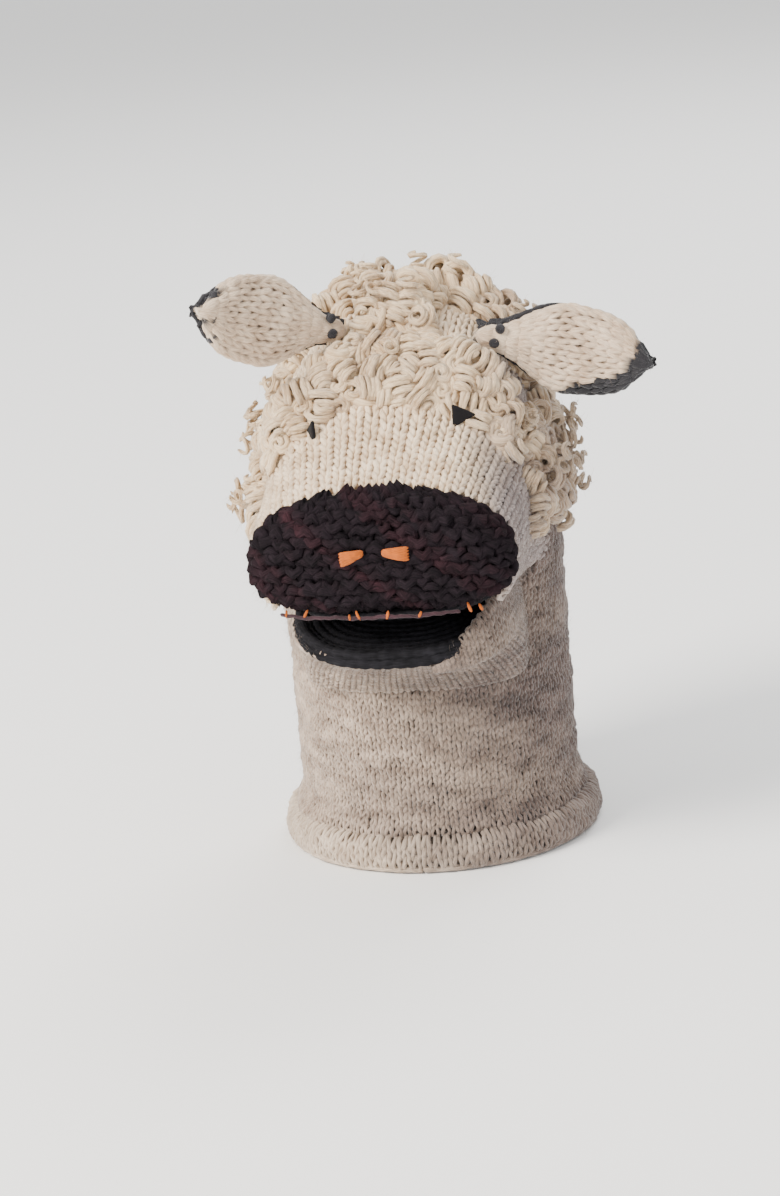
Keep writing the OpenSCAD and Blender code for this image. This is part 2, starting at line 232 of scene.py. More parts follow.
class Strands:
    """Collects threads and loose hairs, then builds one mesh from them."""

    def __init__(self, sides=6):
        self.sides = sides
        self.threads = []
        self.hairs = []
        self.sheets = []

    def thread(self, line, normals, radius, tint=0.0):
        """A thread along a line of points; radius and tint are one number or one per point."""
        line = np.asarray(line, float)
        ahead = unit(np.gradient(line, axis=0))
        side = unit(np.cross(ahead, normals))
        top = np.cross(side, ahead)
        turn = np.linspace(0, 2 * np.pi, self.sides, endpoint=False)
        size = np.broadcast_to(radius, len(line)).astype(float).copy()
        size[[0, -1]] *= 0.35
        rings = (
            line[:, None]
            + size[:, None, None]
            * (np.cos(turn)[None, :, None] * side[:, None] + np.sin(turn)[None, :, None] * top[:, None])
        )
        steps = np.linalg.norm(np.diff(line, axis=0), axis=1)
        run = np.concatenate([[0], np.cumsum(steps)]) / (2 * np.pi * max(size.mean(), 1e-6))
        self.threads.append((rings, run, np.broadcast_to(tint, len(line))))

    def hair(self, line, width, tint=0.0):
        """A loose hair: a ribbon too thin to see as anything but a hair."""
        self.hairs.append((np.asarray(line, float), width, tint))

    def sheet(self, grid, tint=0.0):
        """A plain surface that backs the threads, from a grid of points."""
        self.sheets.append((np.asarray(grid, float), tint))

    def build(self, name, material):
        """Turns all that was collected into one mesh object of that material."""
        points, quads, bake, yarn, tints = [], [], [], [], []
        start = 0
        strips = len(self.threads)
        low = 0.16 if self.sheets else 0.03
        for number, (rings, run, tint) in enumerate(self.threads):
            n, s = rings.shape[:2]
            points.append(rings.reshape(-1, 3))
            tints.append(np.repeat(tint, s))
            i, j = np.meshgrid(np.arange(n - 1), np.arange(s), indexing="ij")
            i, j = i.ravel(), j.ravel()
            k = (j + 1) % s
            quads.append(start + np.stack([i * s + j, (i + 1) * s + j, (i + 1) * s + k, i * s + k], 1))
            u0, u1 = i / (n - 1), (i + 1) / (n - 1)
            v0, v1 = (j + 0.0) / s, (j + 1.0) / s
            row = low + (1 - low) * (number + 0.04) / strips
            tall = (1 - low) * 0.92 / strips
            corners = [(u0, v0), (u1, v0), (u1, v1), (u0, v1)]
            bake.append(per_corner((0.005 + 0.99 * u, row + tall * v) for u, v in corners))
            yarn.append(per_corner([(run[i], v0), (run[i + 1], v0), (run[i + 1], v1), (run[i], v1)]))
            start += n * s
        if self.hairs:
            start = self._hairs(start, points, quads, bake, yarn, tints)
        for number, (grid, tint) in enumerate(self.sheets):
            n, m = grid.shape[:2]
            points.append(grid.reshape(-1, 3))
            tints.append(np.broadcast_to(tint, (n, m)).ravel())
            i, j = (a.ravel() for a in np.meshgrid(np.arange(n - 1), np.arange(m - 1), indexing="ij"))
            left = number / len(self.sheets)
            wide = 0.98 / len(self.sheets)
            corners = [(i, j), (i + 1, j), (i + 1, j + 1), (i, j + 1)]
            quads.append(start + np.stack([a * m + b for a, b in corners], 1))
            bake.append(
                per_corner((left + wide * a / (n - 1), 0.035 + 0.12 * b / (m - 1)) for a, b in corners)
            )
            yarn.append(per_corner((a * 0.7, b * 0.7) for a, b in corners))
            start += n * m
        return self._mesh(name, material, points, quads, bake, yarn, tints)

    def _hairs(self, start, points, quads, bake, yarn, tints):
        """Adds the hairs, which share one small place in the bake map."""
        for line, width, tint in self.hairs:
            n = len(line)
            ahead = unit(np.gradient(line, axis=0))
            side = unit(np.cross(ahead, [0.31, 0.52, 0.79])) * width
            taper = np.linspace(1, 0.3, n)[:, None]
            points.append(np.concatenate([line - side * taper, line + side * taper]))
            tints.append(np.full(2 * n, tint))
            i = np.arange(n - 1)
            quads.append(start + np.stack([i, i + 1, n + i + 1, n + i], 1))
            u0, u1 = i / (n - 1), (i + 1) / (n - 1)
            corners = [(u0, 0.0), (u1, 0.0), (u1, 1.0), (u0, 1.0)]
            bake.append(per_corner((0.01 + 0.98 * u, 0.004 + 0.02 * v + 0 * u) for u, v in corners))
            yarn.append(per_corner((u * 3, v + 0 * u) for u, v in corners))
            start += 2 * n
        return start

    def _mesh(self, name, material, points, quads, bake, yarn, tints):
        """Makes the mesh with its two UV maps and its tint, and links it as a piece."""
        points, quads = np.concatenate(points), np.concatenate(quads)
        mesh = bpy.data.meshes.new(name)
        mesh.vertices.add(len(points))
        mesh.vertices.foreach_set("co", points.astype(np.float32).ravel())
        mesh.loops.add(quads.size)
        mesh.loops.foreach_set("vertex_index", quads.astype(np.int32).ravel())
        mesh.polygons.add(len(quads))
        mesh.polygons.foreach_set("loop_start", np.arange(0, quads.size, 4, dtype=np.int32))
        mesh.polygons.foreach_set("use_smooth", np.ones(len(quads), bool))
        mesh.update(calc_edges=True)
        for layer, values in (("OFBake", bake), ("Yarn", yarn)):
            mesh.uv_layers.new(name=layer).data.foreach_set(
                "uv", np.concatenate(values).astype(np.float32).ravel()
            )
        mesh.attributes.new("tint", "FLOAT", "POINT").data.foreach_set(
            "value", np.clip(np.concatenate(tints), 0, 1).astype(np.float32)
        )
        mesh.materials.append(material)
        mesh.validate()
        piece = bpy.data.objects.new(name, mesh)
        bpy.context.scene.collection.objects.link(piece)
        print(f"{name}: {len(self.threads)} threads, {len(quads)} faces")
        return piece


# %% [markdown]
# ## Stitches
#
# In knitted cloth each row is one thread that runs sideways in a chain of loops, and each loop
# passes through the one below. A simple curve draws it: sideways it advances and swings twice per
# stitch, lengthways it goes up and down once, and in depth it weaves twice. On the smooth side of
# the cloth the legs of the loops lie in front and make columns of V shapes. With the depth turned
# round the heads lie in front, and the cloth is bumpy: that is the reverse side.
#
# A panel of cloth is a grid of points on the surface, one per stitch and row, with its normals.
# Handspun yarn goes from thick to thin, and hairs stand off it.


# %% A knitted panel
POINTS = 10


def between(grid, row, col):
    """The value of a grid at a broken row and column, carried on past its edges."""
    r = np.clip(np.floor(row).astype(int), 0, grid.shape[0] - 2)
    c = np.clip(np.floor(col).astype(int), 0, grid.shape[1] - 2)
    a, b = (row - r)[:, None], (col - c)[:, None]
    near = grid[r, c] * (1 - b) + grid[r, c + 1] * b
    far = grid[r + 1, c] * (1 - b) + grid[r + 1, c + 1] * b
    return near * (1 - a) + far * a


def normals_of(grid, inside):
    """Normals of a grid of points, turned away from the inside points."""
    n = unit(np.cross(np.gradient(grid, axis=0), np.gradient(grid, axis=1)))
    facing = np.sum(n * (grid - inside), axis=-1, keepdims=True)
    return np.where(facing < 0, -n, n)


def knit(strands, grid, normals, rows, thick, seed, smooth=True, spans=None, tint=None, hairs=0.0,
         reach=0.92, swing=0.24, depth=0.45, hair_length=4.0, uneven=1.0):
    """Knits the given rows of a panel with a thread of that radius."""
    rng = np.random.default_rng(seed)
    sign = -1 if smooth else 1
    last_col = grid.shape[1] - 1
    for row in rows:
        first, last = spans[row] if spans else (0, last_col)
        if last - first < 2:
            continue
        count = (last - first) * POINTS + 1
        phase = np.arange(count) * 2 * np.pi / POINTS
        stitch = first + phase / (2 * np.pi)
        across = stitch + swing * np.sin(2 * phase) + wobble(stitch * 2.1, seed + row, 0.07 * uneven)
        along = row + reach * np.cos(phase) + wobble(stitch * 1.7, seed + row + 500, 0.13 * uneven)
        out = sign * depth * thick * 2 * np.cos(2 * phase)
        out = out + wobble(stitch * 0.9, seed + row + 900, 0.25 * uneven) * thick
        normal = unit(between(normals, along, across))
        line = between(grid, along, across) + normal * out[:, None]
        slubs = wobble(stitch * 0.55, seed + row + 1300, 0.2 * min(uneven, 1.5))
        radius = thick * (1 + slubs + wobble(stitch * 3, seed, 0.06))
        shade = 0.0 if tint is None else tint(line)
        strands.thread(line, normal, radius, shade)
        for at in rng.integers(2, count - 2, int(hairs * (last - first))):
            push = normal[at] * rng.uniform(0.3, 1.0) + unit(rng.normal(size=3)) * 0.9
            length = rng.uniform(0.4, 1.0) * hair_length * MM
            steps = np.linspace(0, 1, 4)[:, None]
            curl = unit(rng.normal(size=3)) * length * 0.35
            base = line[at] + normal[at] * thick * 0.7
            hair = base + unit(push) * length * steps + curl * steps**2
            strands.hair(hair, 0.05 * MM, 0.0 if tint is None else float(shade[at]))


def fuzz(strands, grid, normals, count, seed, tint, keep=None, length=5.0):
    """Fine hairs that lie over a panel and blur its stitches; keep picks where by position."""
    rng = np.random.default_rng(seed)
    rows = rng.uniform(0, grid.shape[0] - 1, count)
    cols = rng.uniform(0, grid.shape[1] - 1, count)
    bases = between(grid, rows, cols)
    outs = unit(between(normals, rows, cols))
    for base, out in zip(bases, outs):
        if keep is not None and not keep(base, rng.random()):
            continue
        way = unit(rng.normal(size=3) + out * 0.5)
        reach = rng.uniform(0.5, 1.0) * length * MM
        steps = np.linspace(0, 1, 5)[:, None]
        curl = np.cross(way, out) * reach * rng.normal(0, 0.5)
        hair = base + out * 1.8 * MM + way * reach * steps + curl * steps**2
        strands.hair(hair, 0.055 * MM, float(tint(base)))


print("ready to knit")

# %% [markdown]
# ## Finding the surface
#
# The smooth CAD shells say where the cloth lies. A ray shot from outside towards the middle of
# the hollow stops at the outer skin.


# %% Rays onto the CAD shells
def cad_node(name):
    """The object that shows a node of the CAD model."""
    return next(o for o in bpy.data.objects if o.get("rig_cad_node") == name)


def shell(*nodes, turn=Matrix()):
    """A tree of the faces of these CAD nodes, for rays, after a turn."""
    points, faces = [], []
    for node in nodes:
        thing = cad_node(node)
        base = len(points)
        points.extend(turn @ thing.matrix_world @ v.co for v in thing.data.vertices)
        faces.extend([base + i for i in p.vertices] for p in thing.data.polygons)
    return BVHTree.FromPolygons(points, faces)


def skin(tree, start, way, far=0.2):
    """Where a ray from far outside first meets the shell on the given side, or None."""
    way = Vector(way).normalized()
    hit = tree.ray_cast(Vector(start) + way * far, -way, far)[0]
    return None if hit is None else np.array(hit)


def resample(line, count):
    """A line of points cut into equal steps."""
    line = np.asarray(line, float)
    steps = np.concatenate([[0], np.cumsum(np.linalg.norm(np.diff(line, axis=0), axis=1))])
    at = np.linspace(0, steps[-1], count)
    return np.stack([np.interp(at, steps, line[:, k]) for k in range(3)], 1)


def backing(strands, grid, normals, tint=None, under=1.6 * MM):
    """A plain layer just under the threads, so that no light shows between them."""
    lower = grid - normals * under
    strands.sheet(lower, 0.0 if tint is None else tint(lower))


head_shell = shell("head_back", "muzzle_top", "cheek_left", "cheek_right")
tube_shell = shell("sleeve_lower", "sleeve_flex", "neck_band", "neck_flex", "head_back",
                   "cheek_left", "cheek_right", "muzzle_top")
joints = {j["name"]: j for j in frame["joints"]}
print("shells ready; joints", sorted(joints))

# %% [markdown]
# ## The sleeve and the back of the head
#
# The sleeve is one tube in stocking stitch, the smooth side out, in a heather yarn about 3.7 mm
# to the stitch, which is what a chunky handspun gives. Its columns run unbroken from the hem up the
# neck and over the back of the head. In front the tube ends at the throat. The knitting is cut into
# pieces only where the parts of the puppet turn: the rows round each bend make pieces of their own,
# which belong to no part.
#
# The wool is lighter on one side of the puppet than on the other, partly as a handspun skein changes
# and partly as painted shade on the right, the side away from the key light.


# %% Tube of knitting
COLUMNS = 98
ROW = 2.7 * MM
hem_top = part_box("hem")[1].z
tube_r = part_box("neck_band")[1].x
rim_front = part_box("throat")[0].z
mouth_line = joints["jaw_open"]["pos_m"]


def front_edge(z):
    """How far forward the tube reaches at this height: it stops at the throat and the muzzle."""
    heights = [rim_front, rim_front + 6 * MM, mouth_line[2], mouth_line[2] + 6 * MM, 0.2]
    edges = [-tube_r, -0.036, -0.040, -0.034, -0.034]
    return float(np.interp(z, heights, edges))


def tube_grid(z_low, rows):
    """Points of the tube, two turns round from the front, a row every ROW."""
    grid = np.zeros((rows + 1, 2 * COLUMNS + 1, 3))
    for r in range(rows + 1):
        z = z_low + r * ROW
        for c in range(COLUMNS):
            a = 2 * math.pi * c / COLUMNS
            way = (math.sin(a), -math.cos(a), 0)
            hit = skin(tube_shell, (0, 0, z), way)
            if hit is None or hit[:2] @ way[:2] < 0.03:
                hit = np.array([tube_r * way[0], tube_r * way[1], z])
            grid[r, c] = grid[r, c + COLUMNS] = hit
        grid[r, 2 * COLUMNS] = grid[r, 0]
    return grid


def tube_spans(grid):
    """The first and last column of each row: a full turn below the throat, and an arc above."""
    spans = []
    for line in grid:
        z = line[0, 2]
        if z < rim_front - 1 * MM:
            spans.append((COLUMNS // 2, COLUMNS + COLUMNS // 2))
        else:
            open_cols = [c for c in range(COLUMNS // 2) if line[c, 1] < front_edge(z)]
            first = (open_cols[-1] if open_cols else 0) + 1
            spans.append((first, COLUMNS - first))
    return spans


def skein_and_shade_tint(line):
    """Darker towards the right side and the back: the stripes are the skein's own, and the
    darkening to the right is partly the skein and partly painted shade, away from the key light.
    """
    x, z = line[..., 0], line[..., 2]
    stripes = 0.16 * np.sin(z * 90 + x * 40) + 0.12 * np.sin(z * 260 - x * 70) * np.sin(x * 170 + 1)
    return np.clip(0.40 + 0.62 * x / 0.058 + stripes, 0, 1)


TUBE_ROWS = int((0.149 - hem_top) / ROW)
tube = tube_grid(hem_top, TUBE_ROWS)
tube_normal = normals_of(tube, np.array([0, 0, 0.1]))
# Less tilt keeps the threads level where the tube widens into the head
tube_normal[:, :, 2] *= 0.6
tube_normal = unit(tube_normal)
tube_spans_of = tube_spans(tube)
flare = np.clip(1 - (tube[:, :, 2:] - hem_top) / (10 * MM), 0, 1) ** 2
# Soft lumps of half a millimetre, as hand knitting has
lumps = 0.45 * np.sin(tube[:, :, :1] * 210 + tube[:, :, 2:] * 130) * np.sin(tube[:, :, 2:] * 330)
tube_cloth = tube + tube_normal * (3.4 * flare + lumps - 1.3) * MM
YARN = 0.93 * MM


def tube_piece(name, first, last, seed):
    """The rows from first up to last of the tube, as one piece."""
    made = Strands(sides=5)
    knit(made, tube_cloth, tube_normal, range(first, last), YARN, seed, spans=tube_spans_of,
         tint=skein_and_shade_tint, hairs=2.5, uneven=1.9)
    for r in range(first, last):
        a, b = tube_spans_of[r]
        backing(made, tube_cloth[r : r + 2, a : b + 1], tube_normal[r : r + 2, a : b + 1],
                tint=skein_and_shade_tint)
    return made.build(name, heather_wool)


def row_at(z):
    """The number of the tube's row at this height."""
    return round((z - hem_top) / ROW)


sleeve_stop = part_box("sleeve_lower")[1].z
band_low, band_high = (corner.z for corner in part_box("neck_band"))
cuts = [0, row_at(sleeve_stop), row_at((band_low + band_high) / 2), row_at(0.102), TUBE_ROWS]
sleeve_knit = tube_piece("sleeve_knit", cuts[0], cuts[1], 1)
waist_knit = tube_piece("waist_knit", cuts[1], cuts[2], 2)
neck_knit = tube_piece("neck_knit", cuts[2], cuts[3], 3)
nape_knit = tube_piece("nape_knit", cuts[3], cuts[4], 4)

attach(sleeve_knit, "sleeve")
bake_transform(waist_knit)
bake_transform(neck_knit)
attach(nape_knit, "head")
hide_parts("sleeve_lower")
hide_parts("sleeve_flex", "neck_band")
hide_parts("neck_flex")
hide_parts("head_back")

# %% [markdown]
# ## The hem
#
# The lower edge is turned under and sewn, so it is thicker, flares a little, and its stitches are
# pulled long. A few tall rows of thicker yarn on the flared ring give that.


# %% Hem
hem_shell = shell("hem")
HEM_ROWS = 4
hem_low = 1.2 * MM
hem_grid = np.zeros((HEM_ROWS + 1, COLUMNS + 1, 3))
for r in range(HEM_ROWS + 1):
    z = hem_low + (hem_top - hem_low) * r / HEM_ROWS
    for c in range(COLUMNS + 1):
        a = 2 * math.pi * (c / COLUMNS + 0.5)
        hem_grid[r, c] = skin(hem_shell, (0, 0, z), (math.sin(a), -math.cos(a), 0))
hem_normal = normals_of(hem_grid, np.array([0, 0, 0.01]))
hem_cloth = hem_grid - hem_normal * 1.2 * MM
hem_strands = Strands()
knit(hem_strands, hem_cloth, hem_normal, range(1, HEM_ROWS), 1.05 * MM, 21, tint=skein_and_shade_tint, hairs=2.0,
     uneven=1.6)
edge = np.linspace(0, 2 * np.pi, 6 * COLUMNS + 1)
# Radius in m, height and thickness in mm of the threads that turn the hem under
HEM_TURN = [(0.0645, 1.9, 1.5), (0.0605, 1.6, 1.4), (0.0575, 2.6, 1.3)]
for ring, (radius, height, thick) in enumerate(HEM_TURN):
    ripple = 0.8 * np.sin(edge * COLUMNS / 2 + ring)
    line = np.stack(
        [
            (radius + ripple * 0.35 * MM) * np.sin(edge),
            -(radius + ripple * 0.35 * MM) * np.cos(edge),
            (height + 0.25 * ripple) * MM + 0 * edge,
        ],
        1,
    )
    out = np.stack([np.sin(edge), -np.cos(edge), 0 * edge], 1)
    hem_strands.thread(line, out, thick * MM * (1 + wobble(edge * 9, 30 + ring, 0.15)), skein_and_shade_tint(line))
inner_r = 0.0565
for height in np.arange(4.5, 1000 * hem_top, 2.6):
    line = np.stack([inner_r * np.sin(edge), -inner_r * np.cos(edge), height * MM + 0 * edge], 1)
    bumps = 1.25 * MM * (1 + 0.22 * np.sin(edge * COLUMNS))
    hem_strands.thread(line, -out, bumps, skein_and_shade_tint(line))
backing(hem_strands, hem_cloth, hem_normal, tint=skein_and_shade_tint)
hem_knit = hem_strands.build("hem_knit", hem_wool)
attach(hem_knit, "sleeve")
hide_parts("hem")

# %% [markdown]
# ## The muzzle
#
# The top of the muzzle is knitted in cream at a wider gauge, about 4.7 mm to the stitch, with the
# columns running from the nose back under the locks. On the cheeks it fades to a fuzzy grey, where
# long fine hairs lie over the stitches. The grey is partly the yarn and partly painted shade, which
# is why the right cheek, away from the key light, is greyer.


# %% Muzzle
MUZZLE_COLUMNS = 34
MUZZLE_ROW = 3.5 * MM
nose_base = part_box("muzzle_top")[0].y
muzzle_back = -0.034
cheek_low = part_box("cheek_left")[0].z
muzzle_axis = 0.141
muzzle_rows = int((muzzle_back - nose_base) / MUZZLE_ROW)
muzzle_grid = np.zeros((muzzle_rows + 1, MUZZLE_COLUMNS + 1, 3))
for r in range(muzzle_rows + 1):
    y = nose_base + 0.6 * MM + (muzzle_back - nose_base) * r / muzzle_rows
    arc = []
    for angle in np.radians(np.linspace(-40, 220, 161)):
        hit = skin(head_shell, (0, y, muzzle_axis), (math.cos(angle), 0, math.sin(angle)))
        if hit is not None and hit[2] > cheek_low and abs(hit[0]) + hit[2] - muzzle_axis > 0.01:
            arc.append(hit)
    muzzle_grid[r] = resample(arc, MUZZLE_COLUMNS + 1)
muzzle_normal = normals_of(muzzle_grid, np.array([0, -0.06, 0.14]))
muzzle_cloth = muzzle_grid - muzzle_normal * 1.2 * MM


def cheek_grey_and_shade_tint(line):
    """Cream on top and grey on the cheeks, more so on the right one: the grey is partly the yarn
    and partly painted shade, strongest on the right, away from the key light.
    """
    x, z = line[..., 0], line[..., 2]
    right = np.clip((x - 0.026) / 0.022, 0, 1)
    left = np.clip((-x - 0.046) / 0.02, 0, 0.6)
    return right + left + 0.06 * np.sin(z * 300 + x * 500)


muzzle_strands = Strands()
knit(muzzle_strands, muzzle_cloth, muzzle_normal, range(1, muzzle_rows + 1), 1.12 * MM, 41,
     tint=cheek_grey_and_shade_tint, hairs=5.0)
backing(muzzle_strands, muzzle_cloth, muzzle_normal, tint=cheek_grey_and_shade_tint)
fuzz(muzzle_strands, muzzle_cloth, muzzle_normal, 5200, 47, cheek_grey_and_shade_tint,
     keep=lambda p, chance: chance < 0.15 + 1.2 * max(0.0, (abs(p[0]) - 0.030) / 0.02))
muzzle_knit = muzzle_strands.build("muzzle_knit", cream_wool)
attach(muzzle_knit, "head")
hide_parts("muzzle_top", "cheek_left", "cheek_right")

# %% [markdown]
# ## The cap under the locks
#
# Behind the muzzle the head goes on in plain knitting. It shows only round the roots of the ears,
# where the locks part. An ear that flops forward would sink into the cap and the locks, so both
# are pressed in where it lands.


# %% Room for the ears
flopped_ears = []
for side in ("left", "right"):
    joint = joints[f"ear_{side}_flop"]
    hinge = Matrix.Translation(joint["pos_m"])
    angle = math.radians(joint["range_deg"][1])
    flop = hinge @ Matrix.Rotation(angle, 4, Vector(joint["axis"])) @ hinge.inverted()
    flopped_ears.append(shell(f"ear_{side}_face", f"ear_{side}_back", turn=flop))


def pressed(point, room):
    """How far an ear that flops forward presses the wool in, to keep that much room."""
    gap = min(tree.find_nearest(Vector(point))[3] for tree in flopped_ears)
    return max(0.0, room - gap)


print(len(flopped_ears), "ears flopped")

# %% Cap
CAP_COLUMNS, CAP_ROWS = 36, 32
cap_middle = (0, -0.012, 0.15)
cap_grid = []
for theta in np.radians(np.linspace(-10, 132, CAP_ROWS + 1)):
    arc = []
    for phi in np.radians(np.linspace(-76, 76, 91)):
        way = (math.sin(phi), math.cos(phi) * math.cos(theta), math.cos(phi) * math.sin(theta))
        hit = skin(head_shell, cap_middle, way)
        if hit is not None:
            arc.append(hit)
    cap_grid.append(resample(arc, CAP_COLUMNS + 1))
cap_grid = np.array(cap_grid)
cap_normal = normals_of(cap_grid, np.array(cap_middle))
cap_press = np.apply_along_axis(pressed, 2, cap_grid, 3.0 * MM)[:, :, None]
cap_cloth = cap_grid - cap_normal * (1.6 * MM + cap_press)
cap_strands = Strands(sides=5)
knit(cap_strands, cap_cloth, cap_normal, range(CAP_ROWS + 1), 1.0 * MM, 51, tint=cheek_grey_and_shade_tint)
backing(cap_strands, cap_cloth, cap_normal, tint=cheek_grey_and_shade_tint)
cap_knit = cap_strands.build("cap_knit", cream_wool)
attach(cap_knit, "head")

# %% [markdown]
# ## Throat and lower jaw
#
# One panel runs from the front of the neck forward under the jaw. It is described by a few
# cross sections: a half loop from one corner of the mouth, under the chin, to the other. On the
# right the knitting rides up past the lining, as soft cloth does where a hand pushes it.


# %% Throat and jaw
THROAT = [
    # bottom (y, z), edge (y, z), half width, lift of the right edge, lift of the left edge, mm
    [(-58, 76), (-37, 81), 45.0, 30, 30],
    [(-62, 81), (-42, 94), 46.0, 22, 22],
    [(-68, 87), (-50, 104), 46.0, 15, 14],
    [(-76, 91.5), (-61, 109), 45.0, 12, 7],
    [(-86, 96), (-74, 107), 42.0, 9, -1.5],
    [(-94, 99), (-88, 103.5), 33.0, 4, -1.5],
]
THROAT_COLUMNS = 34


def throat_section(at):
    """One cross section, as points from the right edge round to the left one."""
    k = min(int(at), len(THROAT) - 2)
    t = at - k
    low, edge, half, lift_right, lift_left = (
        np.array(THROAT[k][i]) * (1 - t) + np.array(THROAT[k + 1][i]) * t for i in range(5)
    )
    climb = unit(edge - low)
    points = [(half - 1.5, *(edge + climb * lift_right))]
    for a in np.radians(np.linspace(0, 180, 41)):
        x = half * math.copysign(abs(math.cos(a)) ** 0.8, math.cos(a))
        points.append((x, *(edge + (low - edge) * math.sin(a) ** 0.8)))
    points.append((1.5 - half, *(edge + climb * lift_left)))
    return resample(np.array(points) * MM, THROAT_COLUMNS + 1)


throat_stops = np.linspace(0, len(THROAT) - 1, 19)
throat_grid = np.array([throat_section(at) for at in throat_stops])
throat_normal = normals_of(throat_grid, np.array([0, -0.055, 0.118]))
throat_cloth = throat_grid - throat_normal * 1.0 * MM

throat_strands = Strands()
knit(throat_strands, throat_cloth, throat_normal, range(len(throat_grid)), 0.98 * MM, 61,
     tint=skein_and_shade_tint, hairs=5.0)
backing(throat_strands, throat_cloth, throat_normal, tint=skein_and_shade_tint)
fuzz(throat_strands, throat_cloth, throat_normal, 2600, 67, skein_and_shade_tint)
throat_knit = throat_strands.build("throat_knit", heather_wool)
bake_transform(throat_knit)
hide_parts("throat", "jaw_shell")

# %% [markdown]
# ## Nose
#
# The nose is knitted in a bulky, dark wool with the bumpy side out, about 6.5 mm to the stitch.
# Its edge is bound off, which leaves a chain of fat bumps. A few hairs of other wools are spun in.


# %% Nose
NOSE_COLUMNS = 16
NOSE_ROWS = 10
nose_shell = shell("nose_patch")
nose_low, nose_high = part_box("nose_patch")
nose_mid_z = (nose_low.z + nose_high.z) / 2
# The rays start on a flat lens inside the nose, so that they meet its skin squarely
nose_grid = []
for beta in np.radians(np.linspace(-49, 49, NOSE_ROWS + 1)):
    arc = []
    for alpha in np.radians(np.linspace(-84, 84, 141)):
        start = (0.035 * math.sin(alpha), -0.088, nose_mid_z + 0.008 * math.sin(beta))
        way = (math.sin(alpha) * math.cos(beta), -math.cos(alpha) * math.cos(beta), math.sin(beta))
        hit = skin(nose_shell, start, way)
        if hit is not None and hit[1] < -0.094:
            arc.append(hit)
    nose_grid.append(resample(arc, NOSE_COLUMNS + 1))
nose_grid = np.array(nose_grid)
nose_normal = normals_of(nose_grid, np.array([0, -0.085, nose_mid_z]))
nose_cloth = nose_grid - nose_normal * 1.5 * MM


def nose_tint(line):
    """A purple-brown cast that comes and goes."""
    x, z = line[..., 0], line[..., 2]
    return np.clip(wobble(x * 160 + z * 210, 77, 0.55), 0, 1)


nose_strands = Strands(sides=8)
knit(nose_strands, nose_cloth, nose_normal, range(NOSE_ROWS + 1), 1.95 * MM, 81, smooth=False,
     tint=nose_tint, hairs=12.0, depth=0.45, hair_length=5.0, uneven=2.3)
backing(nose_strands, nose_cloth, nose_normal, tint=nose_tint, under=2.2 * MM)


def rim_of(grid):
    """The four edges of a grid as one closed line."""
    return np.concatenate([grid[0, :-1], grid[:-1, -1], grid[-1, :0:-1], grid[::-1, 0]])


rim_line = resample(rim_of(nose_cloth), 361)
rim_normal = unit(resample(rim_of(nose_normal), 361))
rim_run = np.linspace(0, 1, 361) * 37 * np.pi
bumps = 0.85 + 0.6 * np.abs(np.sin(rim_run)) + wobble(rim_run, 83, 0.08)
nose_strands.thread(rim_line - rim_normal * 0.6 * MM, rim_normal, 2.0 * MM * bumps, nose_tint(rim_line))
nose_knit = nose_strands.build("nose_knit", nose_wool)
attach(nose_knit, "head")
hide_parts("nose_patch")

# %% [markdown]
# ## Nostrils and the stitches along the lip
#
# Each nostril is a fan of five orange stitches that meet at a point near the middle of the nose.
# Short stitches of the same yarn sew the black lining to the edge of the nose, half sunk in it,
# and a thin thread of purple-brown runs along the same seam.


# %% Orange stitches
def stitch_between(strands, a, b, out, rise, thick, seed):
    """A short stitch that starts and ends inside the cloth and bulges out between."""
    a, b, out = (np.array(v, float) for v in (a, b, out))
    t = np.linspace(0, 1, 13)[:, None]
    arch = np.sqrt(np.sin(np.pi * np.clip(t, 0.02, 0.98)))
    line = a + (b - a) * t + out * (arch * rise - 0.6 * MM)
    puff = thick * (0.75 + 0.35 * np.sin(np.pi * t[:, 0])) * (1 + wobble(t[:, 0] * 6, seed, 0.08))
    strands.thread(line, np.broadcast_to(out, line.shape), puff)


for side, node in (("left", "nostril_left"), ("right", "nostril_right")):
    low_corner, high_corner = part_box(node)
    inner_x, outer_x = (high_corner.x, low_corner.x) if side == "left" else (low_corner.x, high_corner.x)
    middle_z = (low_corner.z + high_corner.z) / 2
    lean = 1.2 * MM if side == "left" else 0.4 * MM
    fan = Strands(sides=8)
    for number in range(5):
        drop = (number - 2) * 1.15 * MM
        front = nose_low.y - 1.5 * MM
        inner = (inner_x, front, middle_z + lean + 0.25 * drop)
        outer = (outer_x, front, middle_z - lean + drop)
        rise = 2.1 * MM - abs(number - 2) * 0.25 * MM
        stitch_between(fan, inner, outer, (0, -1, 0.05), rise, 0.9 * MM, 90 + number)
    nostril = fan.build("nostril_" + side + "_yarn", orange_yarn)
    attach(nostril, "head")
    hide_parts(node)

lip = Strands()
for number, x in enumerate([-38, -31, -12, -8, 2, 14, 34, 38]):
    y = float(np.interp(abs(x), [0, 20, 34, 39, 45], [-110, -108.5, -104.5, -102, -97]))
    tall = 3.0 + 0.9 * math.sin(number * 2.3)
    slope = 1.8 * math.sin(number * 1.7)
    out = unit(np.array([x * 0.009, -1, -0.35]))
    foot = (x * MM, y * MM, 0.1205)
    head = ((x + slope) * MM, (y - 0.4) * MM, (120.5 + tall) * MM)
    stitch_between(lip, foot, head, out, 1.3 * MM, 0.55 * MM, 100 + number)
lip_yarn_piece = lip.build("lip_stitches_yarn", orange_yarn)
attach(lip_yarn_piece, "head")
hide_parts("lip_stitches")

